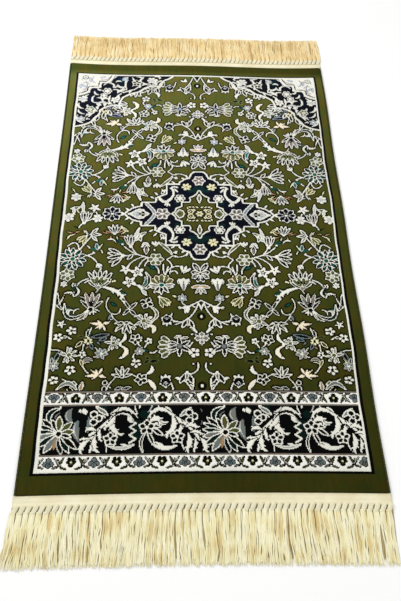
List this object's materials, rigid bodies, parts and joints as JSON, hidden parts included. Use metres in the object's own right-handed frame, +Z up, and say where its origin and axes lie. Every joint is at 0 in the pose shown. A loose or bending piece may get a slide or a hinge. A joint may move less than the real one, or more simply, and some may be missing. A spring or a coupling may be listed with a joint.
{
  "type": "prayer rug",
  "caption": "Rectangular woven pile prayer rug with a floral medallion pattern, overcast sides and a knotted ivory fringe at each end, laid flat.",
  "frame": {"origin": "middle of the underside, on the floor", "axes": "+Y along the rug towards its arched end, +X across it, +Z up out of the pile"},
  "size_m": [0.6671, 1.4401, 0.007],
  "materials": {
    "pile": "olive cut pile with a navy, cream, teal and tan floral pattern",
    "binding": "grey-green overcast yarn",
    "fringe": "ivory woven tape and twisted yarn with straw and peach tints"
  },
  "bodies": {
    "root": {"rug": "pile", "side_binding_left": "binding", "side_binding_right": "binding", "fringe_back": "fringe", "fringe_front": "fringe"}
  },
  "joints": []
}
